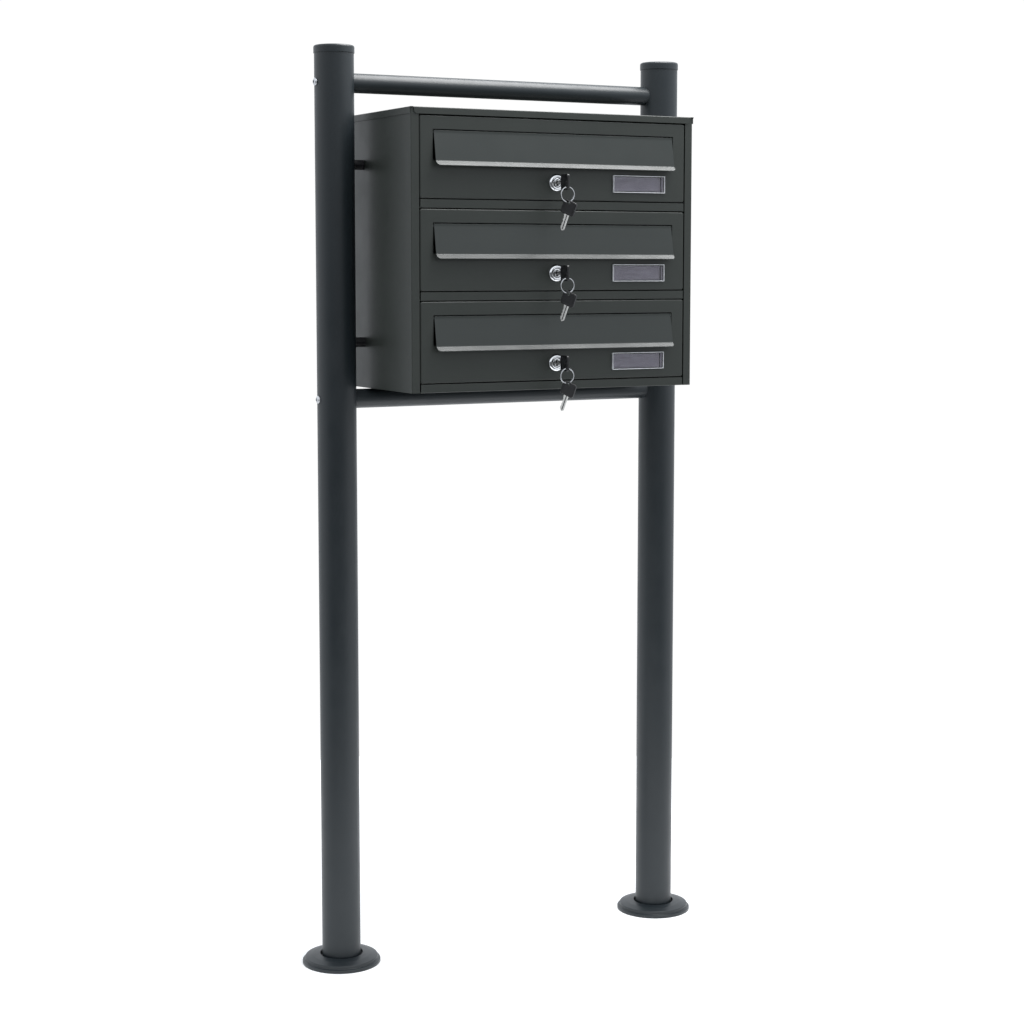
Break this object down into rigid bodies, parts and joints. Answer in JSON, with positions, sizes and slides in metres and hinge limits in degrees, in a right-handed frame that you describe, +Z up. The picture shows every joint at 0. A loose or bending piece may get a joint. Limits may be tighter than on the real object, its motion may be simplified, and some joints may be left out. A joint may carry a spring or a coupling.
{
  "type": "cluster mailbox unit",
  "caption": "Pole-mounted cluster mailbox with lift-up letter flaps, top-hinged lockable doors, name plates and two tubular posts joined by cross rails.",
  "frame": {"origin": "on the floor, midway between the feet of the two posts", "axes": "+Z up, the doors face -Y, +X to the right seen from the front"},
  "size_m": [0.589, 0.3374, 1.2],
  "materials": {
    "cabinet_paint": "fine satin powder coat, anthracite grey",
    "frame_paint": "fine satin powder coat, anthracite grey",
    "flap_paint": "fine satin powder coat, anthracite grey",
    "black_plastic": "moulded black plastic",
    "zinc_steel": "zinc plated steel",
    "chrome": "polished chrome",
    "name_card": "blank grey card",
    "clear_window": "clear moulded plastic"
  },
  "bodies": {
    "stand": {"post_left": "frame_paint", "post_right": "frame_paint", "post_cap_left": "frame_paint", "post_cap_right": "frame_paint", "upper_rail": "frame_paint", "lower_rail": "frame_paint", "base_cover_left": "frame_paint", "base_cover_right": "frame_paint", "rail_inserts": "zinc_steel", "cabinet_bolts": "zinc_steel", "post_nuts": "zinc_steel", "base_plate_left": "zinc_steel", "base_plate_right": "zinc_steel", "hinge_pivots": "zinc_steel", "rail_bolts": "chrome", "cabinet_spacers": "black_plastic", "side_panel_left": "cabinet_paint", "side_panel_right": "cabinet_paint", "rear_panel": "cabinet_paint", "rear_rivets": "cabinet_paint", "floor_panel": "cabinet_paint", "shelf_upper": "cabinet_paint", "shelf_lower": "cabinet_paint", "lid": "cabinet_paint"},
    "door_1": {"door_1": "cabinet_paint", "flap_rod_1": "zinc_steel", "lock_body_1": "chrome", "lock_nut_1": "zinc_steel", "name_card_1": "name_card", "name_window_1": "clear_window"},
    "flap_1": {"flap_1": "flap_paint"},
    "lock_1": {"lock_plug_1": "zinc_steel", "lock_cam_1": "zinc_steel", "key_1": "black_plastic"},
    "key_ring_1": {"key_ring_1": "chrome"},
    "spare_key_1": {"spare_key_1": "black_plastic"},
    "door_2": {"door_2": "cabinet_paint", "flap_rod_2": "zinc_steel", "lock_body_2": "chrome", "lock_nut_2": "zinc_steel", "name_card_2": "name_card", "name_window_2": "clear_window"},
    "flap_2": {"flap_2": "flap_paint"},
    "lock_2": {"lock_plug_2": "zinc_steel", "lock_cam_2": "zinc_steel", "key_2": "black_plastic"},
    "key_ring_2": {"key_ring_2": "chrome"},
    "spare_key_2": {"spare_key_2": "black_plastic"},
    "door_3": {"door_3": "cabinet_paint", "flap_rod_3": "zinc_steel", "lock_body_3": "chrome", "lock_nut_3": "zinc_steel", "name_card_3": "name_card", "name_window_3": "clear_window"},
    "flap_3": {"flap_3": "flap_paint"},
    "lock_3": {"lock_plug_3": "zinc_steel", "lock_cam_3": "zinc_steel", "key_3": "black_plastic"},
    "key_ring_3": {"key_ring_3": "chrome"},
    "spare_key_3": {"spare_key_3": "black_plastic"}
  },
  "joints": [
    {"name": "door_1_hinge", "type": "hinge", "parent": "stand", "child": "door_1", "pos_m": [0, -0.144, 1.1025], "axis": [-1, 0, 0], "range_deg": [0, 80]},
    {"name": "flap_1_hinge", "type": "hinge", "parent": "door_1", "child": "flap_1", "pos_m": [0, -0.1435, 1.0847], "axis": [-1, 0, 0], "range_deg": [0, 50]},
    {"name": "lock_1_turn", "type": "hinge", "parent": "door_1", "child": "lock_1", "pos_m": [0, -0.147, 1.026], "axis": [0, 1, 0], "range_deg": [0, 90]},
    {"name": "key_ring_1_swing", "type": "hinge", "parent": "lock_1", "child": "key_ring_1", "pos_m": [0, -0.176, 1.017], "axis": [0, 1, 0], "range_deg": [-90, 0]},
    {"name": "spare_key_1_swing", "type": "hinge", "parent": "key_ring_1", "child": "spare_key_1", "pos_m": [0, -0.176, 1.00092], "axis": [-1, 0, 0], "range_deg": [0, 96]},
    {"name": "door_2_hinge", "type": "hinge", "parent": "stand", "child": "door_2", "pos_m": [0, -0.144, 0.988], "axis": [-1, 0, 0], "range_deg": [0, 80]},
    {"name": "flap_2_hinge", "type": "hinge", "parent": "door_2", "child": "flap_2", "pos_m": [0, -0.1435, 0.9702], "axis": [-1, 0, 0], "range_deg": [0, 50]},
    {"name": "lock_2_turn", "type": "hinge", "parent": "door_2", "child": "lock_2", "pos_m": [0, -0.147, 0.9115], "axis": [0, 1, 0], "range_deg": [0, 90]},
    {"name": "key_ring_2_swing", "type": "hinge", "parent": "lock_2", "child": "key_ring_2", "pos_m": [0, -0.176, 0.9025], "axis": [0, 1, 0], "range_deg": [-90, 0]},
    {"name": "spare_key_2_swing", "type": "hinge", "parent": "key_ring_2", "child": "spare_key_2", "pos_m": [0, -0.176, 0.88642], "axis": [-1, 0, 0], "range_deg": [0, 96]},
    {"name": "door_3_hinge", "type": "hinge", "parent": "stand", "child": "door_3", "pos_m": [0, -0.144, 0.8735], "axis": [-1, 0, 0], "range_deg": [0, 80]},
    {"name": "flap_3_hinge", "type": "hinge", "parent": "door_3", "child": "flap_3", "pos_m": [0, -0.1435, 0.8557], "axis": [-1, 0, 0], "range_deg": [0, 50]},
    {"name": "lock_3_turn", "type": "hinge", "parent": "door_3", "child": "lock_3", "pos_m": [0, -0.147, 0.797], "axis": [0, 1, 0], "range_deg": [0, 90]},
    {"name": "key_ring_3_swing", "type": "hinge", "parent": "lock_3", "child": "key_ring_3", "pos_m": [0, -0.176, 0.788], "axis": [0, 1, 0], "range_deg": [-90, 0]},
    {"name": "spare_key_3_swing", "type": "hinge", "parent": "key_ring_3", "child": "spare_key_3", "pos_m": [0, -0.176, 0.77192], "axis": [-1, 0, 0], "range_deg": [-48, 0]}
  ],
  "couplings": [
    {"joint": "key_ring_1_swing", "follows": "lock_1_turn", "ratio": -1},
    {"joint": "spare_key_1_swing", "follows": "door_2_hinge", "ratio": 1.2},
    {"joint": "key_ring_2_swing", "follows": "lock_2_turn", "ratio": -1},
    {"joint": "spare_key_2_swing", "follows": "door_3_hinge", "ratio": 1.2},
    {"joint": "key_ring_3_swing", "follows": "lock_3_turn", "ratio": -1},
    {"joint": "spare_key_3_swing", "follows": "door_3_hinge", "ratio": -0.6}
  ]
}
